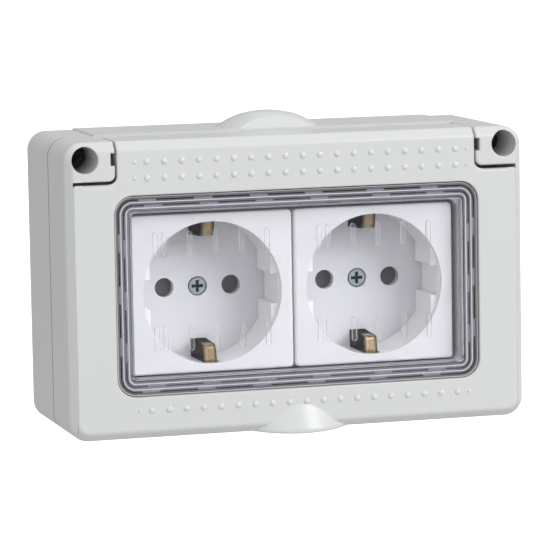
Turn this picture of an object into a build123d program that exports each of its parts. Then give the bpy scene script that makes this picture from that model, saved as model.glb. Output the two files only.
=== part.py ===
"""Outdoor weatherproof double socket with a hinged lid and a clear window.

Millimetres.  X runs to the right, Z up, and the front faces -Y.  The origin is the
middle of the wall face, so "out" below means the distance in front of the wall.
"""
import os
from math import hypot, sqrt

from build123d import *

# Housing
WIDTH = 129.0
HEIGHT = 80.6
BOX_DEPTH = 26.2
FRONT_DEPTH = 20.8
CORNER_R = 5.2
EDGE_BEVEL = 2.2
EDGE_SOFT = 1.6
WALL = 2.0
BACK_WALL = 2.6
SEAM_GAP = 0.4
FIT = 0.3
RUN = 0.4

# Back box
LAND_RISE = 0.4
LAND_INSET = 13.0
POST_R = 3.6
WALL_HOLE_D = 6.0
WALL_HOLE_PITCH_X = 92.0
WALL_HOLE_PITCH_Z = 52.0
HUMP_SET = 9.8
HUMP_R = 14.6
HUMP_SPHERE_R = 24.0
HUMP_LEAN = 1.6
ENTRY_D = 8.6
MEMBRANE_D = 15.2
MEMBRANE_CAP = 0.9
MEMBRANE_DOME = 1.15
MEMBRANE_LIP = 1.2
MEMBRANE_LAP = 0.9

# Front frame
BLOCK_W = 13.6
BLOCK_H = 10.5
BLOCK_CORNER_R = 1.7
BLOCK_SOFT = 0.3
RIM = 2.1
DECK = 2.7
SPIGOT_DEPTH = 3.5
SPIGOT_WALL = 1.6
BAND_W = 2.0
BAND_BED = 0.3
TROUGH_WALL = 1.8
COLLAR_GAP = 1.6
COLLAR_WALL = 1.5
COLLAR_R = 4.0
COLLAR_OVER_FACE = 0.3
GASKET_LIP = 0.3
GASKET_SEAT = 1.0

# Frame screws
SCREW_INSET_X = 5.5
SCREW_INSET_Z = 4.7
SCREW_D = 3.2
SCREW_LENGTH = 18.0
SCREW_HEAD_D = 6.4
SCREW_HEAD_H = 2.4
SCREW_WELL_D = 7.2
SCREW_SEAT = 3.8
CROSS_W = 0.9
CROSS_REACH = 3.3
CROSS_DEPTH = 0.9

# Lid
PANEL = 2.4
LID_GAP = 0.4
SIDE_GAP = 0.05
HOOD_GAP = 0.6
CORNER_WEB = 0.25
HINGE_DROP = 4.7
HINGE_PIN_D = 3.0
HINGE_PIN_LENGTH = 1.4
HINGE_SLOT_D = 3.4
SLOT_SKIN = 1.6
SLOT_ROOM = 0.9
CHEEK = 2.4
OPENING_W = 102.8
OPENING_H = 54.5
OPENING_R = 5.3
OPENING_DROP = 1.55
TAB_HALF_W = 13.0
TAB_RISE = 6.6
TAB_LIP = 3.0
TAB_DROP = 0.6
TAB_EDGE = 1.1
TONGUE_W = 14.0
TONGUE = 1.2
TONGUE_LENGTH = 4.5

# Window
WINDOW_SET = 2.2
WINDOW = 1.2
FLANGE = 1.0
FLANGE_LAP = 1.7
BELLOWS_FOLDS = 3
BELLOWS_PITCH = 1.53
BELLOWS_TOP = 0.7
BELLOWS_DEPTH = 3.6
BELLOWS_WALL = 0.45
RIB_W = 1.3
RIB_H = 6.7
RIB_RISE = 0.7
RIB_ROW = 12.85
RIB_LIFT = 1.35
RIB_STEP = 7.2
RIB_PAIR = 2.4

# Socket modules
MODULE_MARGIN_X = 3.25
MODULE_MARGIN_Z = 2.25
MODULE_GAP = 0.6
MODULE_DROP = 2.2
MODULE_R = 1.2
FACE_SET = 6.3
FACE_PLATE = 2.2
FACE_EDGE = 0.8
SKIRT = 1.5
RECESS_R = 19.45
RECESS_DEPTH = 16.0
RECESS_WALL = 1.8
LEDGE = 2.0
FLAT_REACH = 16.95
KEY_REACH = 18.9
KEY_H = 8.2
FLOOR = 2.5
PIN_PITCH = 19.0
PIN_HOLE_D = 5.3
CENTRE_HEAD_D = 4.6
CENTRE_HEAD_H = 1.3
CENTRE_HEAD_GAP = 0.4
CENTRE_SCREW_D = 3.0
CENTRE_SCREW_LENGTH = 9.0
CENTRE_SINK = 0.2

# Module carrier
CARRIER = 2.4
CARRIER_MARGIN_Z = 4.0
CARRIER_SCREW_D = 3.0
CARRIER_HEAD_D = 5.4
CARRIER_HEAD_H = 1.8

# Socket base, contacts and earth strap
BASE_W = 40.0
BASE_H = 38.6
BASE_DEPTH = 12.7
BASE_R = 3.0
SLEEVE_D = 6.6
SLEEVE_BORE = 5.0
SLEEVE_LENGTH = 9.0
SLEEVE_SLIT = 0.8
TERMINAL_W = 6.0
TERMINAL_H = 7.0
TERMINAL_DEPTH = 6.0
TERMINAL_SCREW_D = 3.0
TERMINAL_HEAD_D = 5.0
TERMINAL_HEAD_H = 1.4
WIRE_HOLE_D = 2.6
EARTH_SCREW_LENGTH = 5.0
STRAP = 0.8
STRAP_W = 3.8
STRAP_SLOT_W = 4.7
STRAP_SLOT_H = 6.1
STRAP_REACH = 11.8
TONGUE_H = 4.5
TONGUE_SLOPE = 1.0
TONGUE_SPRING = 0.5

# Pin-hole shutter
SHUTTER = 1.8
SHUTTER_TRAVEL = 5.8
SHUTTER_MARGIN = 1.5
SHUTTER_HOLE_D = 6.0
BOSS_D = 4.4
SPRING_T = 0.4

# Levels and places worked out from the sizes above
FRONT = BOX_DEPTH + FRONT_DEPTH
TOP = HEIGHT / 2
SIDE = WIDTH / 2
HINGE_OUT = BOX_DEPTH + FIT + HINGE_DROP
HINGE_Z = TOP - HINGE_DROP
BLOCK_X = SIDE - BLOCK_W
BLOCK_Z = TOP - BLOCK_H
LID_SIDE = SIDE - RIM - SIDE_GAP
HOOD_SIDE = BLOCK_X - HOOD_GAP
DECK_OUT = BOX_DEPTH + DECK
MODULE_W = 2 * (RECESS_R + MODULE_MARGIN_X)
MODULE_H = 2 * (RECESS_R + MODULE_MARGIN_Z)
MODULE_PITCH = MODULE_W + MODULE_GAP
FACE_OUT = FRONT - FACE_SET
FLOOR_OUT = FACE_OUT - RECESS_DEPTH
CUP_BACK = FLOOR_OUT - FLOOR
CUP_R = RECESS_R + RECESS_WALL
GROUP_W = MODULE_PITCH + MODULE_W
COLLAR_W = GROUP_W + 2 * COLLAR_GAP
COLLAR_H = MODULE_H + 2 * COLLAR_GAP
COLLAR_OUT = FACE_OUT + COLLAR_OVER_FACE
MODULE_Z = -MODULE_DROP
SCREW_X = SIDE - SCREW_INSET_X
SCREW_Z = TOP - SCREW_INSET_Z
SEAT_OUT = BOX_DEPTH + SCREW_SEAT
POST_OUT = BOX_DEPTH - SPIGOT_DEPTH - SEAM_GAP
BASE_BACK = CUP_BACK - BASE_DEPTH
SHUTTER_ROOM = SHUTTER + RUN
LEFT = -MODULE_PITCH / 2
RIGHT = MODULE_PITCH / 2
SWING_R = hypot(FRONT - HINGE_OUT, HINGE_Z - BLOCK_Z) + FIT
CARRIER_SCREW_X = COLLAR_W / 2 + COLLAR_WALL + CARRIER_HEAD_D / 2 + FIT
CARRIER_HALF = CARRIER_SCREW_X + CARRIER_SCREW_D / 2 + FIT
CENTRE_SEAT = FLOOR_OUT - CENTRE_SINK - CENTRE_HEAD_H
PIN_X = PIN_PITCH / 2
SHUTTER_HALF = PIN_X + SHUTTER_HOLE_D / 2 + SHUTTER_MARGIN
SHUTTER_LOW = -SHUTTER_TRAVEL + SHUTTER_MARGIN
SHUTTER_HIGH = SHUTTER_TRAVEL + SHUTTER_HOLE_D / 2 + SHUTTER_MARGIN
SHUTTER_FLOOR = CUP_BACK - SHUTTER_ROOM
SLEEVE_FRONT = SHUTTER_FLOOR - FIT
SLEEVE_BACK = SLEEVE_FRONT - SLEEVE_LENGTH
TERMINAL_X = BASE_W / 2 - TERMINAL_HEAD_H - FIT
TERMINAL_OUT = SLEEVE_BACK + TERMINAL_DEPTH / 2
EARTH_Z = -BASE_H / 4
STRAP_OUT = BASE_BACK - FIT
STRAP_Z = RECESS_R + STRAP / 2
EARTH_SEAT = STRAP_OUT - STRAP


def outward(sketch, near, far):
    """Solid of an X-Z outline between two distances in front of the wall."""
    return extrude(Plane.XZ.offset(near) * sketch, far - near)


def span(x, out, z):
    """Box between the two ends given for X, the distance out and Z."""
    size = (x[1] - x[0], out[1] - out[0], z[1] - z[0])
    middle = ((x[0] + x[1]) / 2, -(out[0] + out[1]) / 2, (z[0] + z[1]) / 2)
    return Pos(*middle) * Box(*size)


def pin_out(radius, near, far, x=0.0, z=0.0):
    """Round bar pointing out of the wall."""
    return outward(Pos(x, z) * Circle(radius), near, far)


def pin_across(radius, x0, x1, out, z):
    """Round bar along X."""
    return Pos((x0 + x1) / 2, -out, z) * Rot(0, 90, 0) * Cylinder(radius, x1 - x0)


def ring_outline(width, height, radius, wall):
    """Rounded frame outline that stands outside the given size by one wall."""
    outer = RectangleRounded(width + 2 * wall, height + 2 * wall, radius + wall)
    return outer - RectangleRounded(width, height, radius)


def cross_cut(out, x, z):
    """Cross-shaped recess sunk in a screw head whose top is at this distance."""
    bars = Rectangle(CROSS_REACH, CROSS_W) + Rectangle(CROSS_W, CROSS_REACH)
    return outward(Pos(x, z) * bars, out - CROSS_DEPTH, out + CROSS_DEPTH)


def screw_out(x, z, seat, head_d, head_h, shank_d, length):
    """Screw driven towards the wall, with its head seated at the given distance."""
    head = pin_out(head_d / 2, seat, seat + head_h, x, z)
    shank = pin_out(shank_d / 2, seat - length, seat, x, z)
    return head + shank - cross_cut(seat + head_h, x, z)


def hump_height(radius):
    """Rise of the domed cable entry above the box top at a radius from its middle."""
    return sqrt(HUMP_SPHERE_R**2 - radius**2) - sqrt(HUMP_SPHERE_R**2 - HUMP_R**2)


# Shared outer form of frame and lid, with the bevel round its front edge
outline = RectangleRounded(WIDTH, HEIGHT, CORNER_R)
envelope = outward(outline, BOX_DEPTH, FRONT)
envelope = chamfer(envelope.faces().sort_by(Axis.Y)[0].edges(), EDGE_BEVEL)
bevel_edges = [
    edge for edge in envelope.edges()
    if max(abs(v.Y + FRONT) for v in edge.vertices()) < 0.01
    or max(abs(v.Y + FRONT - EDGE_BEVEL) for v in edge.vertices()) < 0.01]
envelope = fillet(bevel_edges, EDGE_SOFT)

screw_places = [(sx * SCREW_X, sz * SCREW_Z) for sx in (-1, 1) for sz in (-1, 1)]
hump_middle = Pos(0, HUMP_SET - BOX_DEPTH, 0)
hump_top_r = MEMBRANE_D / 2 + FIT
hump_top = TOP + hump_height(hump_top_r)


def make_back_box():
    rim_out = BOX_DEPTH - SEAM_GAP
    inner = RectangleRounded(WIDTH - 2 * WALL, HEIGHT - 2 * WALL, CORNER_R - WALL)
    box = outward(outline, 0, rim_out)
    box += span((-SIDE + LAND_INSET, SIDE - LAND_INSET), (0, rim_out), (TOP - WALL, TOP + LAND_RISE))
    # Domed cable entry, cut flat where it meets the wall and the seam
    dome = Sphere(HUMP_SPHERE_R)
    dome = hump_middle * Pos(0, 0, TOP - sqrt(HUMP_SPHERE_R**2 - HUMP_R**2)) * dome
    rise = hump_top - TOP
    cheek = Polyline(
        (0, TOP - WALL), (-rim_out, TOP - WALL), (-rim_out, TOP + LAND_RISE),
        (HUMP_LEAN - rim_out, TOP + rise), (0, TOP + rise), (0, TOP - WALL))
    box += dome & extrude(Plane.YZ * make_face(cheek), HUMP_R, both=True)
    box -= outward(inner, BACK_WALL, BOX_DEPTH)
    for x, z in screw_places:
        post = pin_out(POST_R, 0, POST_OUT, x, z)
        post += span(sorted((x, x / abs(x) * (SIDE - WALL / 2))), (0, POST_OUT), (z - POST_R, z + POST_R))
        post += span((x - POST_R, x + POST_R), (0, POST_OUT), sorted((z, z / abs(z) * (TOP - WALL / 2))))
        box += post & outward(outline, 0, POST_OUT)
    for x, z in screw_places:
        box -= pin_out((SCREW_D + FIT) / 2, SEAT_OUT - SCREW_LENGTH - FIT, BOX_DEPTH, x, z)
    for x in (-WALL_HOLE_PITCH_X / 2, WALL_HOLE_PITCH_X / 2):
        for z in (-WALL_HOLE_PITCH_Z / 2, WALL_HOLE_PITCH_Z / 2):
            box -= pin_out(WALL_HOLE_D / 2, -BACK_WALL, 2 * BACK_WALL, x, z)
    entry = Pos(0, 0, TOP) * Cylinder(ENTRY_D / 2, 6 * WALL)
    cap_seat = Pos(0, 0, hump_top) * Cylinder(MEMBRANE_D / 2 + FIT / 2, MEMBRANE_CAP)
    return box - hump_middle * entry - hump_middle * cap_seat


def make_cable_membrane():
    """Soft plug: a domed disc in its seat, a neck in the hole and a lip under the roof."""
    under = TOP - WALL - FIT / 2
    cap_r = MEMBRANE_D / 2
    neck_r = (ENTRY_D - FIT) / 2
    lip_r = ENTRY_D / 2 + MEMBRANE_LAP
    seat = hump_top - MEMBRANE_CAP / 2
    bottom = under - MEMBRANE_LIP
    profile = Polyline(
        (0, bottom), (neck_r, bottom), (lip_r, under), (neck_r, under), (neck_r, seat), (cap_r, seat),
        (cap_r, hump_top), (0, hump_top), (0, bottom))
    plug = revolve(Plane.XZ * make_face(profile), Axis.Z)
    dome_r = (cap_r**2 + MEMBRANE_DOME**2) / (2 * MEMBRANE_DOME)
    dome = Pos(0, 0, hump_top + MEMBRANE_DOME - dome_r) * Sphere(dome_r)
    dome &= Pos(0, 0, hump_top) * Cylinder(cap_r, 2 * MEMBRANE_DOME)
    dome -= Pos(0, 0, seat - MEMBRANE_DOME) * Cylinder(cap_r, 2 * MEMBRANE_DOME)
    return hump_middle * (plug + dome)


def make_front_frame():
    frame = envelope + outward(outline, BOX_DEPTH, DECK_OUT)
    # Room for the lid: between the side rims, and up between the corner blocks
    low = -TOP + RIM
    room = Pos(0, (low + BLOCK_Z) / 2) * Rectangle(2 * (SIDE - RIM), BLOCK_Z - low)
    room += Pos(0, (low + HEIGHT) / 2) * Rectangle(2 * BLOCK_X, HEIGHT - low)
    corners = room.vertices().filter_by(lambda v: abs(abs(v.X) - BLOCK_X) < 0.01 and v.Y < TOP)
    room = fillet(corners, BLOCK_CORNER_R)
    frame -= outward(room, DECK_OUT, FRONT + WALL)
    rounds = frame.faces().sort_by(Axis.Y)[0].edges().filter_by(GeomType.CIRCLE)
    rounds = rounds.filter_by(lambda e: abs(e.radius - BLOCK_CORNER_R) < 0.01)
    frame = chamfer(rounds, BLOCK_SOFT)
    frame -= span((-SIDE + RIM, SIDE - RIM), (FRONT - PANEL - LID_GAP, FRONT + WALL), (-HEIGHT, BLOCK_Z))
    # Collar round the sockets, and the aperture they pass through
    collar = ring_outline(COLLAR_W, COLLAR_H, COLLAR_R, COLLAR_WALL)
    frame += outward(Pos(0, MODULE_Z) * collar, DECK_OUT, COLLAR_OUT)
    # Spigot that enters the back box, with a screw boss in each corner
    spigot_w = WIDTH - 2 * (WALL + FIT)
    spigot_h = HEIGHT - 2 * (WALL + FIT)
    spigot_r = CORNER_R - WALL - FIT
    spigot = RectangleRounded(spigot_w, spigot_h, spigot_r)
    hollow = Rectangle(spigot_w - 2 * SPIGOT_WALL, spigot_h - 2 * SPIGOT_WALL)
    back = BOX_DEPTH - SPIGOT_DEPTH
    frame += outward(spigot - hollow, back, BOX_DEPTH)
    for x, z in screw_places:
        frame += pin_out(POST_R, back, BOX_DEPTH, x, z) & outward(spigot, back, BOX_DEPTH)
        frame += pin_out(SCREW_HEAD_D / 2 + RIM, BOX_DEPTH, SEAT_OUT, x, z) & envelope
    # Trough behind the hinge bead, and the open top between the corner blocks
    hood = (-BLOCK_X, BLOCK_X)
    bead_room = HINGE_DROP + RUN + FIT
    shell_r = bead_room + TROUGH_WALL
    shell = pin_across(shell_r, -BLOCK_X, BLOCK_X, HINGE_OUT, HINGE_Z)
    shell &= span(hood, (HINGE_OUT - shell_r, DECK_OUT), (HINGE_Z - shell_r, TOP - WALL - FIT))
    frame -= span(hood, (BOX_DEPTH, FRONT + WALL), (HINGE_Z, HEIGHT))
    frame += shell
    frame -= pin_across(bead_room, -BLOCK_X, BLOCK_X, HINGE_OUT, HINGE_Z)
    frame -= span(hood, (HINGE_OUT - HINGE_DROP - RUN, FRONT), (HINGE_Z, HEIGHT))
    frame -= outward(outline - band_outline(), back, back + BAND_W)
    # Sockets' aperture, screw wells and bores
    aperture = Rectangle(GROUP_W + 2 * FIT, MODULE_H + 2 * FIT)
    frame -= outward(Pos(0, MODULE_Z) * aperture, 0, COLLAR_OUT)
    low_room = span((-SIDE + RIM, SIDE - RIM), (SEAT_OUT, FRONT), (-TOP, 0))
    for x, z in screw_places:
        well = pin_out(SCREW_WELL_D / 2, SEAT_OUT, FRONT + WALL, x, z)
        frame -= well if z > 0 else well & low_room
        frame -= pin_out((SCREW_D + FIT) / 2, 0, FRONT, x, z)
    for x in (-CARRIER_SCREW_X, CARRIER_SCREW_X):
        frame -= pin_out((CARRIER_SCREW_D + FIT) / 2, 0, DECK_OUT + WALL, x, MODULE_Z)
    # Hinge slots, open to the front so that the lid's stubs slide in
    for side in (-1, 1):
        ends = sorted((side * (BLOCK_X - WALL), side * (HOOD_SIDE + HINGE_PIN_LENGTH + FIT)))
        slot = pin_across(HINGE_SLOT_D / 2, *ends, HINGE_OUT, HINGE_Z)
        half = HINGE_SLOT_D / 2
        slot += span(ends, (HINGE_OUT, FRONT + WALL), (HINGE_Z - half, HINGE_Z + half))
        room_ends = sorted((side * BLOCK_X, side * (HOOD_SIDE + HINGE_PIN_LENGTH + FIT + SLOT_ROOM)))
        slot += span(room_ends, (HINGE_OUT + half, FRONT - SLOT_SKIN), (HINGE_Z - half, HINGE_Z + half))
        frame -= slot
    return frame


def band_outline():
    """Bed of the sealing band on the frame's spigot."""
    inset = WALL + FIT + BAND_BED
    return RectangleRounded(WIDTH - 2 * inset, HEIGHT - 2 * inset, CORNER_R - inset)


def make_sealing_band():
    outer = RectangleRounded(WIDTH - 2 * WALL, HEIGHT - 2 * WALL, CORNER_R - WALL)
    back = BOX_DEPTH - SPIGOT_DEPTH
    return outward(outer - band_outline(), back, back + BAND_W)


def make_frame_screws():
    screws = [
        screw_out(x, z, SEAT_OUT, SCREW_HEAD_D, SCREW_HEAD_H, SCREW_D, SCREW_LENGTH)
        for x, z in screw_places]
    return Compound(screws)


def make_collar_gasket():
    lip = GASKET_LIP
    ring = ring_outline(COLLAR_W - 2 * lip, COLLAR_H - 2 * lip, COLLAR_R - lip, COLLAR_WALL + 2 * lip)
    bed = ring_outline(COLLAR_W, COLLAR_H, COLLAR_R, COLLAR_WALL)
    front = FRONT - BELLOWS_DEPTH - BELLOWS_WALL - RUN
    gasket = outward(Pos(0, MODULE_Z) * ring, COLLAR_OUT - GASKET_SEAT, front)
    return gasket - outward(Pos(0, MODULE_Z) * bed, DECK_OUT, COLLAR_OUT)


def make_module_carrier():
    plate = RectangleRounded(2 * CARRIER_HALF, MODULE_H + 2 * CARRIER_MARGIN_Z, COLLAR_R)
    for x in (LEFT, RIGHT):
        plate -= Pos(x, 0) * RectangleRounded(2 * (CUP_R + FIT), 2 * (CUP_R + FIT), MODULE_R)
    carrier = outward(Pos(0, MODULE_Z) * plate, BOX_DEPTH - CARRIER, BOX_DEPTH)
    for x in (-CARRIER_SCREW_X, CARRIER_SCREW_X):
        carrier -= pin_out(CARRIER_SCREW_D / 2 + FIT / 4, 0, FRONT, x, MODULE_Z)
    return carrier


def make_carrier_screws():
    length = DECK + CARRIER
    screws = [
        screw_out(x, MODULE_Z, DECK_OUT, CARRIER_HEAD_D, CARRIER_HEAD_H, CARRIER_SCREW_D, length)
        for x in (-CARRIER_SCREW_X, CARRIER_SCREW_X)]
    return Compound(screws)


def make_lid():
    low = -TOP
    panel = Pos(0, (low + BLOCK_Z) / 2) * Rectangle(2 * LID_SIDE, BLOCK_Z - low)
    hood = Pos(0, (low + TOP) / 2) * Rectangle(2 * HOOD_SIDE, HEIGHT)
    opening = Pos(0, -OPENING_DROP) * RectangleRounded(OPENING_W, OPENING_H, OPENING_R)
    lid = outward(panel + hood - opening, FRONT - PANEL, FRONT)
    # Shoulders under the corner blocks follow a circle about the hinge
    for side in (-1, 1):
        ends = sorted((side * HOOD_SIDE, side * SIDE))
        lid -= pin_across(SWING_R, *ends, HINGE_OUT, HINGE_Z)
    # Thin web that rounds the corner between each shoulder and the hood
    web_r = BLOCK_CORNER_R + HOOD_GAP
    web_z = HINGE_Z - sqrt(SWING_R**2 - (FRONT - HINGE_OUT) ** 2)
    root = PANEL / 3
    web = Pos((web_r - root) / 2, (web_r - root) / 2) * Rectangle(web_r + root, web_r + root)
    web -= Pos(web_r, web_r) * Circle(web_r)
    web = outward(Pos(HOOD_SIDE, web_z) * web, FRONT - CORNER_WEB, FRONT)
    lid += web
    lid += mirror(web, Plane.YZ)
    # Hood over the top, ending in the bead that turns about the hinge
    reach = (-HOOD_SIDE, HOOD_SIDE)
    lid += span(reach, (HINGE_OUT, FRONT), (TOP - PANEL, TOP))
    bead = pin_across(HINGE_DROP, *reach, HINGE_OUT, HINGE_Z)
    bead -= pin_across(HINGE_DROP - PANEL, *reach, HINGE_OUT, HINGE_Z)
    lid += bead & span(reach, (BOX_DEPTH, HINGE_OUT), (HINGE_Z - PANEL, TOP))
    for side in (-1, 1):
        ends = sorted((side * (HOOD_SIDE - CHEEK), side * HOOD_SIDE))
        lid += span(ends, (HINGE_OUT, FRONT), (HINGE_Z - HINGE_DROP, TOP))
        lid += pin_across(HINGE_DROP, *ends, HINGE_OUT, HINGE_Z)
    lid &= envelope
    for side in (-1, 1):
        stub = sorted((side * (HOOD_SIDE - CHEEK), side * (HOOD_SIDE + HINGE_PIN_LENGTH)))
        lid += pin_across(HINGE_PIN_D / 2, *stub, HINGE_OUT, HINGE_Z)
    # Tongue that enters behind the frame's bottom wall
    tongue_z = -TOP + RIM + LID_GAP
    tongue_back = FRONT - PANEL - TONGUE_LENGTH
    lid += span((-TONGUE_W / 2, TONGUE_W / 2), (tongue_back, FRONT - PANEL), (tongue_z, tongue_z + TONGUE))
    return lid + make_finger_tab()


def make_finger_tab():
    """Flared lip at the lid's bottom edge: part of an upright cone on a short drum."""
    depth = TAB_LIP + EDGE_BEVEL
    low_r = (TAB_HALF_W**2 + depth**2) / (2 * depth)
    bottom = -TOP - TAB_DROP
    drum = Pos(0, 0, TAB_EDGE / 2) * Cylinder(low_r, TAB_EDGE)
    cone = Pos(0, 0, TAB_EDGE + TAB_RISE / 2) * Cone(low_r, low_r - TAB_LIP, TAB_RISE)
    tab = Pos(0, low_r - TAB_LIP - FRONT, bottom) * (drum + cone)
    back = EDGE_BEVEL - FRONT
    tip = -FRONT - TAB_LIP
    side = Polyline((back, 0), (back, -TOP), (tip, bottom), (tip, 0), (back, 0))
    return tab & extrude(Plane.YZ * make_face(side), low_r, both=True)


def make_window():
    place = Pos(0, -OPENING_DROP)
    flange_out = FRONT - PANEL - FLANGE
    lap = RectangleRounded(
        OPENING_W + 2 * FLANGE_LAP, OPENING_H + 2 * FLANGE_LAP, OPENING_R + FLANGE_LAP)

    def inset(depth):
        return RectangleRounded(OPENING_W - 2 * depth, OPENING_H - 2 * depth, max(OPENING_R - depth, 1))

    window = outward(place * (lap - inset(FIT + BELLOWS_WALL)), flange_out, FRONT - PANEL)
    # The flange is notched where the lid's shoulders are cut back
    for side in (-1, 1):
        ends = sorted((side * HOOD_SIDE, side * SIDE))
        window -= pin_across(SWING_R, *ends, HINGE_OUT, HINGE_Z)
    # Bellows: walls and folds in turn, from the opening's edge inwards
    deep = FRONT - BELLOWS_DEPTH
    high = FRONT - BELLOWS_TOP
    thick = BELLOWS_WALL
    start = FIT
    window += outward(place * (inset(start) - inset(start + thick)), flange_out, high)
    for fold in range(BELLOWS_FOLDS):
        inner = start + BELLOWS_PITCH * (fold + 1)
        middle = inner - BELLOWS_PITCH / 2
        window += outward(place * (inset(inner - BELLOWS_PITCH) - inset(middle)), high - thick, high)
        window += outward(place * (inset(middle - thick) - inset(middle)), deep - thick, high)
        window += outward(place * (inset(middle - thick) - inset(inner)), deep - thick, deep)
        window += outward(place * (inset(inner - thick) - inset(inner)), deep - thick, high)
    pane_edge = start + BELLOWS_FOLDS * BELLOWS_PITCH - thick
    pane_out = FRONT - WINDOW_SET
    window += outward(place * inset(pane_edge), pane_out - WINDOW, pane_out)
    rib = Rectangle(RIB_W, RIB_H)
    rib = chamfer(rib.vertices(), RIB_W / 3)
    steps = [-2 * RIB_STEP - RIB_PAIR] + [RIB_STEP * step for step in range(-2, 3)]
    rib_z = MODULE_Z + RIB_LIFT
    for x in [middle_x + step for middle_x in (LEFT, RIGHT) for step in steps]:
        for z in (rib_z - RIB_ROW, rib_z + RIB_ROW):
            window += outward(Pos(x, z) * rib, pane_out - WINDOW / 2, pane_out + RIB_RISE)
    return window


def make_socket_cover():
    face = RectangleRounded(MODULE_W, MODULE_H, MODULE_R)
    inside = Rectangle(MODULE_W - 2 * SKIRT, MODULE_H - 2 * SKIRT)
    cover = outward(face, BOX_DEPTH, FACE_OUT)
    cover = fillet(cover.faces().sort_by(Axis.Y)[0].edges(), FACE_EDGE)
    cover -= outward(inside, BOX_DEPTH, FACE_OUT - FACE_PLATE)
    cover += pin_out(CUP_R, CUP_BACK, FACE_OUT - FACE_PLATE)
    # Recess: a round ledge, then a well with a flat at each side and a keyway in each flat
    well = Circle(RECESS_R) & Rectangle(2 * FLAT_REACH, 2 * RECESS_R)
    well += Rectangle(2 * KEY_REACH, KEY_H)
    cover -= pin_out(RECESS_R, FACE_OUT - LEDGE, FACE_OUT + LEDGE)
    cover -= outward(well, FLOOR_OUT, FACE_OUT)
    slot_far = STRAP_Z + STRAP / 2 + FIT
    for side in (-1, 1):
        heights = sorted((side * slot_far, side * (slot_far - STRAP_SLOT_H)))
        half = STRAP_SLOT_W / 2
        cover -= span((-half, half), (CUP_BACK - FLOOR, FACE_OUT - LEDGE), heights)
    for x in (-PIN_X, PIN_X):
        cover -= pin_out(PIN_HOLE_D / 2, CUP_BACK - FLOOR, FLOOR_OUT + FLOOR, x)
    cover -= pin_out((CENTRE_SCREW_D + FIT) / 2, CUP_BACK - FLOOR, FLOOR_OUT + FLOOR)
    cover -= pin_out(CENTRE_HEAD_D / 2 + CENTRE_HEAD_GAP, CENTRE_SEAT, FLOOR_OUT + FLOOR)
    return cover


def contact_outline(grow):
    """Sleeve and terminal of one contact, grown on all sides for its pocket."""
    sleeve = pin_out(SLEEVE_D / 2 + grow, SLEEVE_BACK - grow, SLEEVE_FRONT + grow, PIN_X)
    block = (
        (PIN_X + SLEEVE_BORE / 2 - grow, TERMINAL_X + grow),
        (SLEEVE_BACK - grow, SLEEVE_BACK + TERMINAL_DEPTH + grow),
        (-TERMINAL_H / 2 - grow, TERMINAL_H / 2 + grow))
    return sleeve + span(*block)


def terminal_bar(radius, x0, x1):
    return pin_across(radius, x0, x1, TERMINAL_OUT, 0)


def make_socket_base():
    base = outward(RectangleRounded(BASE_W, BASE_H, BASE_R), BASE_BACK, CUP_BACK)
    room_low = SHUTTER_LOW - SHUTTER_TRAVEL - RUN
    room_half = SHUTTER_HALF + RUN
    base -= span((-room_half, room_half), (SHUTTER_FLOOR, FACE_OUT), (room_low, SHUTTER_HIGH + RUN))
    base += pin_out(BOSS_D / 2, SHUTTER_FLOOR, CUP_BACK)
    base -= pin_out(CENTRE_SCREW_D / 2 + FIT / 4, CENTRE_SEAT - CENTRE_SCREW_LENGTH - FIT, FACE_OUT)
    pocket = contact_outline(FIT / 2) + pin_out(SLEEVE_D / 2 + FIT / 2, SLEEVE_BACK, FACE_OUT, PIN_X)
    pocket += terminal_bar(TERMINAL_HEAD_D / 2 + FIT, TERMINAL_X, BASE_W)
    wire = pin_out(WIRE_HOLE_D / 2, 0, TERMINAL_OUT, TERMINAL_X - TERMINAL_W / 2)
    base -= pocket + wire
    base -= mirror(pocket + wire, Plane.YZ)
    return base - pin_out(CENTRE_SCREW_D / 2 + FIT / 4, 0, EARTH_SEAT + EARTH_SCREW_LENGTH + FIT, 0, EARTH_Z)


def make_contact():
    """Live contact on the right: slit sleeve for the pin, and a terminal block."""
    contact = contact_outline(0) - pin_out(SLEEVE_BORE / 2, 0, FACE_OUT, PIN_X)
    slit_end = SLEEVE_BACK + TERMINAL_DEPTH + SLEEVE_SLIT
    slit = ((PIN_X - SLEEVE_SLIT / 2, PIN_X + SLEEVE_SLIT / 2), (slit_end, FACE_OUT))
    contact -= span(*slit, (-SLEEVE_D, SLEEVE_D))
    contact -= pin_out(WIRE_HOLE_D / 2, 0, TERMINAL_OUT, TERMINAL_X - TERMINAL_W / 2)
    return contact - terminal_bar(TERMINAL_SCREW_D / 2, TERMINAL_X - TERMINAL_W / 2, BASE_W)


def make_terminal_screws():
    """Two clamp screws at the sides and the earth screw on the strap."""
    screw = terminal_bar(TERMINAL_HEAD_D / 2, TERMINAL_X + FIT / 3, TERMINAL_X + FIT / 3 + TERMINAL_HEAD_H)
    screw += terminal_bar(TERMINAL_SCREW_D / 2 - FIT / 4, TERMINAL_X - TERMINAL_W / 2 + FIT, TERMINAL_X + FIT)
    earth = pin_out(TERMINAL_HEAD_D / 2, EARTH_SEAT - TERMINAL_HEAD_H, EARTH_SEAT, 0, EARTH_Z)
    earth += pin_out(CENTRE_SCREW_D / 2, EARTH_SEAT, EARTH_SEAT + EARTH_SCREW_LENGTH, 0, EARTH_Z)
    return Compound([screw, mirror(screw, Plane.YZ), earth])


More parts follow.
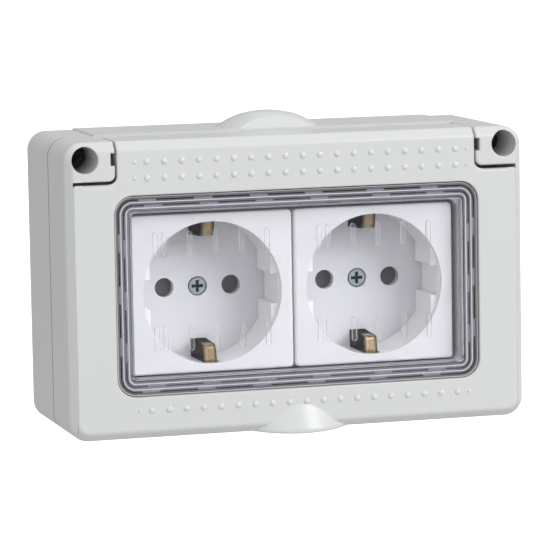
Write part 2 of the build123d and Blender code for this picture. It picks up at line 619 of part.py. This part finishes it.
def make_earth_strap():
    """Folded strip: a bar behind the base and a spring tongue at the top and bottom."""
    tip = FLOOR_OUT + STRAP_REACH
    bar = STRAP_OUT - STRAP / 2
    tongue_z = STRAP_Z - TONGUE_H
    half_path = [
        (FLOOR_OUT + STRAP, tongue_z - TONGUE_SPRING), (tip - TONGUE_SLOPE, tongue_z), (tip, STRAP_Z),
        (bar, STRAP_Z)]
    upper = [(-out, z) for out, z in half_path]
    lower = [(-out, -z) for out, z in reversed(half_path)]
    strip = trace(FilletPolyline(*upper, *lower, radius=STRAP), line_width=STRAP)
    strap = extrude(Plane.YZ * strip, STRAP_W / 2, both=True)
    return strap - pin_out(CENTRE_SCREW_D / 2 + FIT / 4, 0, BASE_BACK, 0, EARTH_Z)


def make_centre_screw():
    return screw_out(0, 0, CENTRE_SEAT, CENTRE_HEAD_D, CENTRE_HEAD_H, CENTRE_SCREW_D, CENTRE_SCREW_LENGTH)


def make_shutter():
    back = SHUTTER_FLOOR + RUN / 2
    height = SHUTTER_HIGH - SHUTTER_LOW
    plate = Pos(0, (SHUTTER_HIGH + SHUTTER_LOW) / 2) * RectangleRounded(2 * SHUTTER_HALF, height, BASE_R / 2)
    for x in (-PIN_X, PIN_X):
        plate -= Pos(x, SHUTTER_TRAVEL) * Circle(SHUTTER_HOLE_D / 2)
    slot_length = SHUTTER_TRAVEL + BOSS_D + 2 * FIT
    plate -= Pos(0, SHUTTER_TRAVEL / 2) * Rot(0, 0, 90) * SlotOverall(slot_length, BOSS_D + 2 * FIT)
    return outward(plate, back, back + SHUTTER)


def make_shutter_spring():
    """Bowed leaf between the shutter's lower edge and the floor of its room."""
    low = SHUTTER_LOW - SHUTTER_TRAVEL - RUN + SPRING_T
    high = SHUTTER_LOW - SPRING_T / 2 - FIT / 2
    reach = SHUTTER_HALF - SHUTTER_MARGIN
    bow = trace(ThreePointArc((-reach, low), (0, high), (reach, low)), line_width=SPRING_T)
    back = SHUTTER_FLOOR + RUN
    return outward(bow, back, back + SHUTTER - RUN)


def write(name, shape):
    export_step(shape, f"parts/{name}.step")


os.makedirs("parts", exist_ok=True)
write("back_box", make_back_box())
write("cable_membrane", make_cable_membrane())
write("front_frame", make_front_frame())
write("sealing_band", make_sealing_band())
write("frame_screws", make_frame_screws())
write("module_carrier", make_module_carrier())
write("carrier_screws", make_carrier_screws())
write("collar_gasket", make_collar_gasket())
write("lid", make_lid())
write("window", make_window())

contact = make_contact()
socket_pieces = {
    "socket_cover": make_socket_cover(),
    "socket_base": make_socket_base(),
    "contact_live": contact,
    "contact_neutral": mirror(contact, Plane.YZ),
    "terminal_screws": make_terminal_screws(),
    "earth_strap": make_earth_strap(),
    "centre_screw": make_centre_screw(),
    "shutter": make_shutter(),
    "shutter_spring": make_shutter_spring(),
}
for side, x in (("left", LEFT), ("right", RIGHT)):
    for name, piece in socket_pieces.items():
        write(f"{name}_{side}", Pos(x, 0, MODULE_Z) * piece)
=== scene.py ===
"""Looks of an outdoor weatherproof double socket with a hinged lid and a clear window.

Metres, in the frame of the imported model: X to the right, Z up, and the front faces -Y.
"""
from math import cos, radians, sin

import bpy
from mathutils import Matrix, Vector


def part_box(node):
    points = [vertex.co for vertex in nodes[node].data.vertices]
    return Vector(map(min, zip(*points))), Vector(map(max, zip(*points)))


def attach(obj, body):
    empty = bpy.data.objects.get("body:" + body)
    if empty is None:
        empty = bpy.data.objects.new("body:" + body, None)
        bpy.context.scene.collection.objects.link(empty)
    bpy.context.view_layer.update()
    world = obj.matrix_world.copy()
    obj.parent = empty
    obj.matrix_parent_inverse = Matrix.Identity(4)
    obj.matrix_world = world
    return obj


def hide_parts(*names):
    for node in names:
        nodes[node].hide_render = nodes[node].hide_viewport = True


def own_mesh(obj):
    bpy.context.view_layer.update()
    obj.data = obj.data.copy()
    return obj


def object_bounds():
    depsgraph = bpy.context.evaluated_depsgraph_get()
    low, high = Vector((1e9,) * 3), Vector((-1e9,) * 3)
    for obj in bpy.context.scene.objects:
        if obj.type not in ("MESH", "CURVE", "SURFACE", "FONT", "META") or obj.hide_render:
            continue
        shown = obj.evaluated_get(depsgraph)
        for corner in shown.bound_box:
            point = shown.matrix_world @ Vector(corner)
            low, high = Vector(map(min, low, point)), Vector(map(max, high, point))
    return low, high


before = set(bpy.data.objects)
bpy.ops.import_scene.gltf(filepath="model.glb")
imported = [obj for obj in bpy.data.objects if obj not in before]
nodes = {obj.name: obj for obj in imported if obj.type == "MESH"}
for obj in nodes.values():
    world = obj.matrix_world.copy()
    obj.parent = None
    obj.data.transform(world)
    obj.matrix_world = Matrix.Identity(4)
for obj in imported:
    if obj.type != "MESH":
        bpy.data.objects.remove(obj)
cad_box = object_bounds()
MM = 0.001

# Back box, front frame and lid housing
# Light grey moulded plastic with a satin skin.  Every edge of a moulding has a small round,
# and the skin keeps a trace of the fine grain of the tool.


class Wire:
    """One output of a node graph; arithmetic on it adds Math nodes."""

    def __init__(self, finish, socket):
        self.finish = finish
        self.socket = socket

    def math(self, operation, first, second):
        return self.finish.add("Math", {"operation": operation}, [first, second])

    def __add__(self, other):
        return self.math("ADD", self, other)

    def __sub__(self, other):
        return self.math("SUBTRACT", self, other)

    def __mul__(self, other):
        return self.math("MULTIPLY", self, other)

    def __rsub__(self, other):
        return self.math("SUBTRACT", other, self)

    def __abs__(self):
        return self.math("ABSOLUTE", self, 0.0)

    def __gt__(self, other):
        return self.math("GREATER_THAN", self, other)

    def __lt__(self, other):
        return self.math("LESS_THAN", self, other)

    __radd__ = __add__
    __rmul__ = __mul__


class Finish:
    """The node graph of a material or the world: add() makes any node, and cover() closes it."""

    def __init__(self, name, store="materials", ending="OutputMaterial"):
        self.owner = getattr(bpy.data, store).new(name)
        self.owner.use_nodes = True
        self.tree = self.owner.node_tree
        self.tree.nodes.clear()
        self.ending = ending

    def add(self, kind, settings=(), inputs=(), output=0):
        node = self.tree.nodes.new("ShaderNode" + kind)
        for key, value in dict(settings).items():
            setattr(node, key, value)
        pairs = inputs.items() if isinstance(inputs, dict) else enumerate(inputs)
        for key, value in pairs:
            if isinstance(value, Wire):
                self.tree.links.new(value.socket, node.inputs[key])
            else:
                node.inputs[key].default_value = value
        return Wire(self, node.outputs[output])

    def place(self):
        return self.add("TexCoord", output="Object")

    def across_back_upward(self):
        place = self.place()
        return [self.add("SeparateXYZ", (), [place], axis) for axis in range(3)]

    def noise(self, per_metre, detail):
        return self.add("TexNoise", (), {"Vector": self.place(), "Scale": per_metre, "Detail": detail})

    def tint(self, share, first, second):
        return self.add("Mix", {"data_type": "RGBA"}, {0: share, 6: first, 7: second}, 2)

    def rounded(self, radius, samples):
        return self.add("Bevel", {"samples": samples}, {"Radius": radius})

    def skin(self, height, strength, depth, normal):
        return self.add(
            "Bump", (), {"Strength": strength, "Distance": depth, "Height": height, "Normal": normal})

    def cover(self, shader):
        output = self.tree.nodes.new("ShaderNode" + self.ending)
        self.tree.links.new(shader.socket, output.inputs["Surface"])
        return self.owner


CLOUDS_PER_METRE = 35
CLOUD_DETAIL = 3.0
CLOUD_SWING = 0.015
GRAIN_PER_METRE = 4200
GRAIN_DETAIL = 1.0
GRAIN_DEPTH = 0.03 * MM
ROUGHNESS_SWING = 0.04


def scaled(colour, factor):
    return (*[channel * factor for channel in colour], 1.0)


def clouded(finish, cloud, colour):
    return finish.tint(cloud, scaled(colour, 1 - CLOUD_SWING), scaled(colour, 1 + CLOUD_SWING))


def moulded(name, colour, roughness, edge_round, grain):
    """Moulded plastic: faint flow clouds, fine tool grain and rounded edges."""
    finish = Finish(name)
    cloud = finish.noise(CLOUDS_PER_METRE, CLOUD_DETAIL)
    speck = finish.noise(GRAIN_PER_METRE, GRAIN_DETAIL)
    return finish.cover(finish.add("BsdfPrincipled", (), {
        "Base Color": clouded(finish, cloud, colour),
        "Roughness": roughness - ROUGHNESS_SWING + cloud * (2 * ROUGHNESS_SWING),
        "Normal": finish.skin(speck, grain, GRAIN_DEPTH, finish.rounded(edge_round, 6))}))


def dress(material, *names):
    for name in names:
        nodes[name].data.materials.clear()
        nodes[name].data.materials.append(material)


HOUSING_GREY = (0.72, 0.735, 0.73)
FRONT_FROM = 42.0 * MM
FRONT_HALF = 60.0 * MM
FRONT_ROUND = 0.8 * MM
SEAM_ROUND = 0.12 * MM
SEAM_OUT = 26.0 * MM
SEAM_HALF = 0.5 * MM
SEAM_SHADE = 0.55


def housing_plastic():
    """Satin grey plastic, crisp at the seams, softer on the front, with painted shade along the main
    seam.
    """
    finish = Finish("housing_plastic")
    cloud = finish.noise(CLOUDS_PER_METRE, CLOUD_DETAIL)
    speck = finish.noise(GRAIN_PER_METRE, GRAIN_DETAIL)
    across, back, _ = finish.across_back_upward()
    outer = abs(across) > FRONT_HALF
    # Painted shade: a darker band along the seam between the back box and the front frame.
    seam = outer * (abs(back + SEAM_OUT) < SEAM_HALF)
    front = (1 - outer) * (back < -FRONT_FROM)
    crisp = finish.rounded(SEAM_ROUND, 6)
    soft = finish.rounded(FRONT_ROUND, 8)
    edge = finish.add("Mix", {"data_type": "VECTOR"}, {0: front, 4: crisp, 5: soft}, 1)
    plain = clouded(finish, cloud, HOUSING_GREY)
    return finish.cover(finish.add("BsdfPrincipled", (), {
        "Base Color": finish.tint(seam, plain, scaled(HOUSING_GREY, SEAM_SHADE)),
        "Roughness": 0.27 + cloud * 0.02,
        "Normal": finish.skin(speck, 0.2, GRAIN_DEPTH, edge)}))


dress(housing_plastic(), "back_box", "front_frame", "lid", "module_carrier")

# Cable membrane
# A soft grey disc pressed into the domed entry on top of the box, smoother than the housing.
# The supply cable is pushed through it.

membrane = moulded("membrane_rubber", (0.74, 0.775, 0.80), 0.16, 0.2 * MM, 0.02)
dress(membrane, "cable_membrane")

# Seals
# Soft rubber: a flat dark band laid in the seam between box and frame, and a pale grey lip on
# the collar round the outlets, which the window's rim closes on.

band = moulded("band_rubber", (0.06, 0.06, 0.065), 0.5, 0.2 * MM, 0.4)
dress(band, "sealing_band")
lip = moulded("lip_rubber", (0.64, 0.64, 0.68), 0.5, 0.2 * MM, 0.4)
dress(lip, "collar_gasket")

# Screws
# Turned steel with a pressed cross recess: zinc plated with a bluish cast at the carrier and
# the terminals, and near black at the frame.

TARNISH_PER_METRE = 700
LINES_PER_METRE = 5200
LINE_DEPTH = 0.02 * MM


def metal(name, colour, dark, roughness, edge_round):
    """Plated metal: drawn lines, a little tarnish and softened edges."""
    finish = Finish(name)
    tarnish = finish.noise(TARNISH_PER_METRE, 4.0)
    lines = finish.noise(LINES_PER_METRE, 2.0)
    return finish.cover(finish.add("BsdfPrincipled", (), {
        "Base Color": finish.tint(tarnish, scaled(dark, 1.0), scaled(colour, 1.0)),
        "Metallic": 1.0,
        "Roughness": roughness + tarnish * 0.12,
        "Normal": finish.skin(lines, 0.2, LINE_DEPTH, finish.rounded(edge_round, 4))}))


zinc = metal("zinc_plate", (0.62, 0.70, 0.76), (0.44, 0.51, 0.57), 0.2, 0.12 * MM)
dress(zinc, "carrier_screws", "terminal_screws_left", "terminal_screws_right")
black_steel = metal("near_black_steel", (0.05, 0.05, 0.055), (0.02, 0.02, 0.022), 0.45, 0.15 * MM)
dress(black_steel, "frame_screws")

# Shutter springs
# Bowed leaves of zinc-plated steel that stand on the base under each shutter.

MERGE_WITHIN = 0.001 * MM

for side in ("left", "right"):
    node = "shutter_spring_" + side
    leaf = bpy.data.objects.new("leaf_spring_" + side, nodes[node].data.copy())
    bpy.context.scene.collection.objects.link(leaf)
    bpy.ops.object.select_all(action="DESELECT")
    leaf.select_set(True)
    bpy.context.view_layer.objects.active = leaf
    bpy.ops.object.mode_set(mode="EDIT")
    bpy.ops.mesh.select_all(action="SELECT")
    bpy.ops.mesh.remove_doubles(threshold=MERGE_WITHIN)
    bpy.ops.object.mode_set(mode="OBJECT")
    bpy.ops.object.shade_smooth_by_angle(angle=radians(30))
    leaf.data.materials.clear()
    leaf.data.materials.append(zinc)
    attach(leaf, "base")
    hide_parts(node)
    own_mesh(leaf)

# Centre screws
# Bright blue-passivated heads that hold the covers on; the side of the head and the cross
# recess carry painted shade in near black.

HEAD_FACE_DEPTH = 0.12 * MM
HEAD_BRIGHT = (0.52, 0.62, 0.69, 1)
HEAD_PAINTED_SHADE = (0.035, 0.045, 0.055, 1)


def screw_steel(face_y):
    """Bright in the plane of the head's face, with painted shade deeper than that."""
    finish = Finish("screw_steel")
    drawn = finish.noise(2600, 2.0)
    _, back, _ = finish.across_back_upward()
    return finish.cover(finish.add("BsdfPrincipled", (), {
        # Painted shade: near black below the plane of the head's face, on its side and in the cross
        # recess.
        "Base Color": finish.tint(back > face_y + HEAD_FACE_DEPTH, HEAD_BRIGHT, HEAD_PAINTED_SHADE),
        "Metallic": 1.0,
        "Roughness": 0.16 + drawn * 0.12,
        "Normal": finish.skin(drawn, 0.15, LINE_DEPTH, finish.rounded(0.1 * MM, 4))}))


dress(screw_steel(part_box("centre_screw_left")[0][1]), "centre_screw_left", "centre_screw_right")

# Outlet covers and what lies behind them
# Glossy white moulded covers screwed over off-white bases, with dark grey shutters behind
# the pin holes.

RECESS_FLOOR = 24.7 * MM
RECESS_MOUTH = 40.0 * MM
FLOOR_SKIN = 1.0 * MM
COVER_FACE = (0.86, 0.86, 0.88, 1)
COVER_WALL_PAINTED_LIGHT = (0.97, 0.97, 0.975, 1)
COVER_FLOOR_PAINTED_SHADE = (0.74, 0.74, 0.765, 1)


def outlet_plastic():
    """Glossy white, with painted shade on the floor of the recess and painted light on its walls."""
    finish = Finish("outlet_plastic")
    cloud = finish.noise(CLOUDS_PER_METRE, CLOUD_DETAIL)
    _, back, _ = finish.across_back_upward()
    # Painted light and shade: the recess walls are painted lighter and the recess floor darker than
    # the face.
    walls = finish.tint(back > -RECESS_MOUTH, COVER_FACE, COVER_WALL_PAINTED_LIGHT)
    return finish.cover(finish.add("BsdfPrincipled", (), {
        "Base Color": finish.tint(back > -RECESS_FLOOR - FLOOR_SKIN, walls, COVER_FLOOR_PAINTED_SHADE),
        "Roughness": 0.16 + cloud * 0.08,
        "Normal": finish.rounded(0.25 * MM, 6)}))


dress(outlet_plastic(), "socket_cover_left", "socket_cover_right")

SLOT_OUT = 13.0 * MM
OUTLET_Z = -2.2 * MM
BASE_WHITE = (0.75, 0.74, 0.70, 1)
BASE_PAINTED_SHADE = (0.035, 0.035, 0.035, 1)


def base_plastic():
    """Off-white, with painted shade in near black where the slots of the earth clips open onto it."""
    finish = Finish("base_plastic")
    _, _, upward = finish.across_back_upward()
    return finish.cover(finish.add("BsdfPrincipled", (), {
        # Painted shade: near black on the base within the height of the earth-clip slots.
        "Base Color": finish.tint(abs(upward - OUTLET_Z) > SLOT_OUT, BASE_WHITE, BASE_PAINTED_SHADE),
        "Roughness": 0.5,
        "Normal": finish.rounded(0.2 * MM, 4)}))


dress(base_plastic(), "socket_base_left", "socket_base_right")
shutter = moulded("shutter_plastic", (0.075, 0.075, 0.08), 0.45, 0.2 * MM, 0.2)
dress(shutter, "shutter_left", "shutter_right")

# Contacts and earth straps
# Stamped brass strip, folded at the earth clips and rolled at the pin sleeves.
# It is held in the bases, and the clips reach out through slots of the covers.

BRIGHT_OUT = 34.5 * MM
PAINTED_SHADE_OUT = 31.0 * MM
OUTLET_X = 23.0 * MM
CROWN_HALF = (0.7 * MM, 1.9 * MM)
BRASS_TARNISHED = (0.34, 0.24, 0.13, 1)
BRASS_BRIGHT = (0.60, 0.46, 0.28, 1)
BRASS_PAINTED_SHADE = (0.008, 0.006, 0.004, 1)


def brass_strip():
    """Bright brass on the crown of the clips, with painted shade in near black towards their edges and
    down in the slots.
    """
    finish = Finish("brass_strip")
    tarnish = finish.noise(TARNISH_PER_METRE, 4.0)
    lines = finish.noise(LINES_PER_METRE, 2.0)
    across, back, _ = finish.across_back_upward()
    aside = abs(abs(across) - OUTLET_X)
    # Painted shade: the brass goes near black away from the crown of each clip and deeper into the
    # slots.
    out = finish.add("MapRange", (), [back, -PAINTED_SHADE_OUT, -BRIGHT_OUT, 0.0, 1.0])
    crown = finish.add("MapRange", (), [aside, CROWN_HALF[1], CROWN_HALF[0], 0.0, 1.0])
    unshaded_crown = out * crown
    bright = finish.tint(tarnish, BRASS_TARNISHED, BRASS_BRIGHT)
    return finish.cover(finish.add("BsdfPrincipled", (), {
        "Base Color": finish.tint(unshaded_crown, BRASS_PAINTED_SHADE, bright),
        "Metallic": unshaded_crown,
        "Roughness": 0.75 - unshaded_crown * 0.55 + tarnish * 0.12,
        "Specular IOR Level": 0.2,
        "Normal": finish.skin(lines, 0.2, LINE_DEPTH, finish.rounded(0.4 * MM, 4))}))


brass = brass_strip()
dress(brass, "earth_strap_left", "earth_strap_right", "contact_live_left", "contact_live_right")
dress(brass, "contact_neutral_left", "contact_neutral_right")

# Beads on the lid
# Rows of small moulded domes above and below the window, each row ending in a smaller one.
# One dome is cut from a ball, and the rest are copies set into the lid's face.

BEAD_R = 0.85 * MM
BEAD_RISE = 0.55 * MM
BEAD_PITCH = 4.83 * MM
BEADS_EACH_SIDE = 9
END_BEAD_X = 46.8 * MM
END_BEAD_SHARE = 0.6
BEAD_SHIFT = 1.4 * MM
BEAD_ROWS = (34.7 * MM, 30.3 * MM, -32.5 * MM)
BEAD_SINK = 0.1 * MM
BEAD_GREY_PAINTED_LIGHT = (0.765, 0.78, 0.775)
LID_FACE = -47.0 * MM


def copied(model, place):
    copy = model.copy()
    copy.data = model.data.copy()
    copy.data.transform(place)
    bpy.context.scene.collection.objects.link(copy)
    return copy


def joined(pieces, name):
    bpy.ops.object.select_all(action="DESELECT")
    for piece in pieces:
        piece.select_set(True)
    bpy.context.view_layer.objects.active = pieces[0]
    bpy.ops.object.join()
    whole = bpy.context.object
    whole.name = name
    return whole


bpy.ops.object.select_all(action="DESELECT")
bpy.ops.mesh.primitive_uv_sphere_add(segments=20, ring_count=12, radius=1.0)
bead = bpy.context.object
bead.name = "bead"
bpy.ops.object.mode_set(mode="EDIT")
bpy.ops.mesh.select_all(action="SELECT")
bpy.ops.mesh.bisect(
    plane_co=(0, BEAD_SINK / BEAD_RISE, 0), plane_no=(0, 1, 0), clear_outer=True, use_fill=True)
bpy.ops.object.mode_set(mode="OBJECT")
bpy.ops.object.shade_smooth_by_angle(angle=radians(50))
bead_places = [(step * BEAD_PITCH, 1.0) for step in range(-BEADS_EACH_SIDE, BEADS_EACH_SIDE + 1)]
bead_places += [(-END_BEAD_X, END_BEAD_SHARE), (END_BEAD_X, END_BEAD_SHARE)]
beads = []
for z in BEAD_ROWS:
    for x, share in bead_places:
        size = Matrix.Diagonal((share * BEAD_R, share * BEAD_RISE, share * BEAD_R, 1))
        beads.append(copied(bead, Matrix.Translation((x + BEAD_SHIFT, LID_FACE, z)) @ size))
bpy.data.objects.remove(bead)
lid_beads = joined(beads, "lid_beads")
# Painted light: the beads' grey is a little lighter than the lid's grey, so the domes read brighter.
lid_beads.data.materials.append(moulded("bead_plastic", BEAD_GREY_PAINTED_LIGHT, 0.2, 0.08 * MM, 0.05))
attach(lid_beads, "lid_body")

# Window
# One clear soft moulding held in the lid: a thin pane with raised ribs inside a folded rim.

PANE_HALF = (46.85 * MM, 22.7 * MM)
PANE_MIDDLE_Z = -1.55 * MM
OPENING_HALF = (51.4 * MM, 27.25 * MM)
OPENING_R = 5.3 * MM
FOLD_START = 0.3 * MM
FOLD_PITCH = 1.53 * MM
FOLD_TOP = 46.3 * MM
FOLD_SKIN = 0.6 * MM
PAINTED_HIGHLIGHT_SHARE = 0.15
PAINTED_HIGHLIGHT_STRENGTH = 0.6
FOLD_TOP_HAZE = 0.35
FOLD_WALL_HAZE = 0.04
RIB_WALL_PAINTED_HIGHLIGHT = 0.4
RIB_TOP_HAZE = 0.09
RIB_TOP_FROM = 45.3 * MM
LEVEL_FACE = 0.7
CLEAR_TINT = (0.94, 0.94, 0.965, 1.0)
WALL_PAINTED_SHADE_TINT = (0.20, 0.20, 0.26, 1.0)
HAZE_GREY = (0.45, 0.45, 0.50, 1)
PAINTED_HIGHLIGHT_WHITE = (0.92, 0.92, 0.95, 1)


def clear_moulding():
    """Clear plastic that bends what is seen through it and lets the lamps reach the outlets.

    The rim's folds are hazy on top with a painted highlight along their outer edges, and their walls
    and the groove floors carry painted shade as a dark tint.  The pane's ribs have painted highlights
    on their walls and faintly hazy tops.
    """
    finish = Finish("clear_window")
    across, back, upward = finish.across_back_upward()
    upward = upward - PANE_MIDDLE_Z
    beside = abs(across) > PANE_HALF[0]
    above = abs(upward) > PANE_HALF[1]
    rim = beside.math("MAXIMUM", beside, above)
    outward = finish.add("SeparateXYZ", (), [finish.add("TexCoord", output="Normal")], 1)
    level = abs(outward) > LEVEL_FACE
    fold_top = level * (back < FOLD_SKIN - FOLD_TOP)
    rib_top = level * (back < -RIB_TOP_FROM)

    flat = finish.add("CombineXYZ", (), [across, 0.0, upward])
    corner = (OPENING_HALF[0] - OPENING_R, 0.0, OPENING_HALF[1] - OPENING_R)
    beyond = finish.add("VectorMath", {"operation": "ABSOLUTE"}, [flat])
    beyond = finish.add("VectorMath", {"operation": "SUBTRACT"}, [beyond, corner])
    beyond_x, beyond_z = [finish.add("SeparateXYZ", (), [beyond], axis) for axis in (0, 2)]
    past = finish.add("VectorMath", {"operation": "MAXIMUM"}, [beyond, (0, 0, 0)])
    round_part = finish.add("VectorMath", {"operation": "LENGTH"}, [past], "Value")
    straight = beyond_x.math("MINIMUM", beyond_x.math("MAXIMUM", beyond_x, beyond_z), 0.0)
    folds = (OPENING_R - FOLD_START - round_part - straight) * (1 / FOLD_PITCH)
    # Painted highlight: a white line along the outer edge of each fold top.
    painted_edge_highlight = rim * fold_top * (folds.math("FRACT", folds, 0.0) < PAINTED_HIGHLIGHT_SHARE)

    glass = finish.add("BsdfPrincipled", (), {
        # Painted shade: a dark tint on the rim's fold walls and groove floors, while the pane stays
        # clear.
        "Base Color": finish.tint(rim * (1 - fold_top), CLEAR_TINT, WALL_PAINTED_SHADE_TINT),
        "Roughness": 0.03,
        "IOR": 1.33,
        "Transmission Weight": 1.0})
    haze = finish.add("BsdfDiffuse", (), {"Color": HAZE_GREY})
    bright = finish.add("BsdfDiffuse", (), {"Color": PAINTED_HIGHLIGHT_WHITE})
    cloud = rim * (fold_top * (FOLD_TOP_HAZE - FOLD_WALL_HAZE) + FOLD_WALL_HAZE)
    # Painted highlight: pale white on the ribs' walls; their tops get a faint real haze.
    rib_highlight_and_haze = (1 - rim) * ((1 - level) * RIB_WALL_PAINTED_HIGHLIGHT + rib_top * RIB_TOP_HAZE)
    moulding = finish.add("MixShader", (), [cloud, glass, haze])
    moulding = finish.add("MixShader", (), [painted_edge_highlight * PAINTED_HIGHLIGHT_STRENGTH + rib_highlight_and_haze, moulding, bright])
    clear = finish.add("BsdfTransparent", (), {"Color": (1, 1, 1, 1)})
    from_lamp = finish.add("LightPath", output="Is Shadow Ray")
    return finish.cover(finish.add("MixShader", (), [from_lamp, moulding, clear]))


window_clear = clear_moulding()
dress(window_clear, "window")

# Bridges in the rim
# Short clear bars that close the rim's grooves here and there, level with the tops of the folds.
# One bar is modelled with softened edges, and the rest are copies of it, turned at the sides.

BRIDGE_DEPTH = 0.5 * MM
BRIDGE_EDGE = 0.06 * MM
GROOVES = ((1.08 * MM, 1.815 * MM), (2.61 * MM, 3.345 * MM))
BRIDGE_LENGTH = 5.0 * MM
BRIDGE_STEP = 1.6 * MM
BRIDGES_X = (-42.0 * MM, -26.5 * MM, -11.0 * MM, 4.5 * MM, 22.0 * MM, 37.5 * MM)
BRIDGES_Z = (13.0 * MM, -1.0 * MM, -15.0 * MM)

bpy.ops.object.select_all(action="DESELECT")
bpy.ops.mesh.primitive_cube_add(size=1.0)
bridge = bpy.context.object
bridge.name = "bridge"
bridge.data.transform(Matrix.Diagonal((BRIDGE_LENGTH, BRIDGE_DEPTH, GROOVES[0][1] - GROOVES[0][0], 1)))
bpy.ops.object.mode_set(mode="EDIT")
bpy.ops.mesh.select_all(action="SELECT")
bpy.ops.mesh.bevel(offset=BRIDGE_EDGE, segments=2, affect="EDGES")
bpy.ops.object.mode_set(mode="OBJECT")
bpy.ops.object.shade_smooth_by_angle(angle=radians(30))
upright = Matrix.Rotation(radians(90), 4, "Y")
bars = []
for number, (near, far) in enumerate(GROOVES):
    for side in (-1, 1):
        level_z = PANE_MIDDLE_Z + side * (OPENING_HALF[1] - (near + far) / 2)
        spots = [(x + number * BRIDGE_STEP, level_z, Matrix.Identity(4)) for x in BRIDGES_X]
        beside_x = side * (OPENING_HALF[0] - (near + far) / 2)
        spots += [(beside_x, z - number * BRIDGE_STEP, upright) for z in BRIDGES_Z]
        for x, z, turn in spots:
            bars.append(copied(bridge, Matrix.Translation((x, BRIDGE_DEPTH / 2 - FOLD_TOP, z)) @ turn))
bpy.data.objects.remove(bridge)
window_bridges = joined(bars, "window_bridges")
window_bridges.data.materials.append(window_clear)
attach(window_bridges, "lid_body")

# Floor and backdrop
# A plain pale sheet a little below the part, white to the camera.
# The rest of the scene sees it as pale grey paint.

FLOOR_DROP = 120 * MM
FLOOR_SIZE = 12

bpy.ops.object.select_all(action="DESELECT")
bpy.ops.mesh.primitive_plane_add(size=FLOOR_SIZE, location=(0, 0, cad_box[0][2] - FLOOR_DROP))
floor = bpy.context.object
floor.name = "floor"
pale = Finish("pale_floor")
paint = pale.add("BsdfDiffuse", (), {"Color": (0.6, 0.6, 0.6, 1)})
seen = pale.add("LightPath", output="Is Camera Ray")
glow = pale.add("Emission", (), {"Color": (1, 1, 1, 1), "Strength": seen})
floor.data.materials.append(pale.cover(pale.add("AddShader", (), [paint, glow])))

# Light
# A pale room that is brighter above, a soft lamp in front, above and to the right,
# and a weaker, wider one from the left.

ROOM_LEVEL = 0.392
ROOM_SLOPE = (0.048, -0.032, 0.44)
LAMPS = (
    ("key_lamp", Vector((0.85, -1.15, 0.75)), 0.75, 9.5),
    ("fill_lamp", Vector((-0.6, -1.5, 0.5)), 1.2, 4.0))

room = Finish("white_room", "worlds", "OutputWorld")
seen = room.add("LightPath", output="Is Camera Ray")
way = room.add("TexCoord", output="Generated")
slope = room.add("VectorMath", {"operation": "DOT_PRODUCT"}, [way, ROOM_SLOPE], "Value")
strength = room.add("MapRange", (), {"Value": seen, "To Min": slope + ROOM_LEVEL, "To Max": 1.0})
sky = room.add("Background", (), {"Color": (1, 1, 1, 1), "Strength": strength})
bpy.context.scene.world = room.cover(sky)

for name, place, size, power in LAMPS:
    lamp_data = bpy.data.lights.new(name, "AREA")
    lamp_data.shape = "DISK"
    lamp_data.size = size
    lamp_data.energy = power
    lamp = bpy.data.objects.new(name, lamp_data)
    lamp_turn = (-place).to_track_quat("-Z", "Y").to_matrix().to_4x4()
    lamp.matrix_world = Matrix.Translation(place) @ lamp_turn
    bpy.context.scene.collection.objects.link(lamp)

# Camera
# Long lens from the left and a little above, turned and tilted as in the photograph.

CAMERA_TURN = radians(16.02)
CAMERA_PITCH = radians(6.86)
CAMERA_ROLL = radians(-1.0)
CAMERA_DISTANCE = 975.5 * MM
CAMERA_AIM = Vector((-5.23, -40.7, 1.68)) * MM
CAMERA_LENS = 234.3
CAMERA_REACH = 20

level_ahead = Vector((sin(CAMERA_TURN), cos(CAMERA_TURN), 0))
level_right = Vector((cos(CAMERA_TURN), -sin(CAMERA_TURN), 0))
ahead = cos(CAMERA_PITCH) * level_ahead - sin(CAMERA_PITCH) * Vector((0, 0, 1))
level_up = level_right.cross(ahead)
right = cos(CAMERA_ROLL) * level_right + sin(CAMERA_ROLL) * level_up
up = right.cross(ahead)
camera_data = bpy.data.cameras.new("camera")
camera_data.lens = CAMERA_LENS
camera_data.clip_end = CAMERA_REACH
camera = bpy.data.objects.new("camera", camera_data)
turn = Matrix((right, up, -ahead)).transposed().to_4x4()
camera.matrix_world = Matrix.Translation(CAMERA_AIM - CAMERA_DISTANCE * ahead) @ turn
bpy.context.scene.collection.objects.link(camera)
bpy.context.scene.camera = camera
bpy.context.scene.view_settings.view_transform = "Standard"
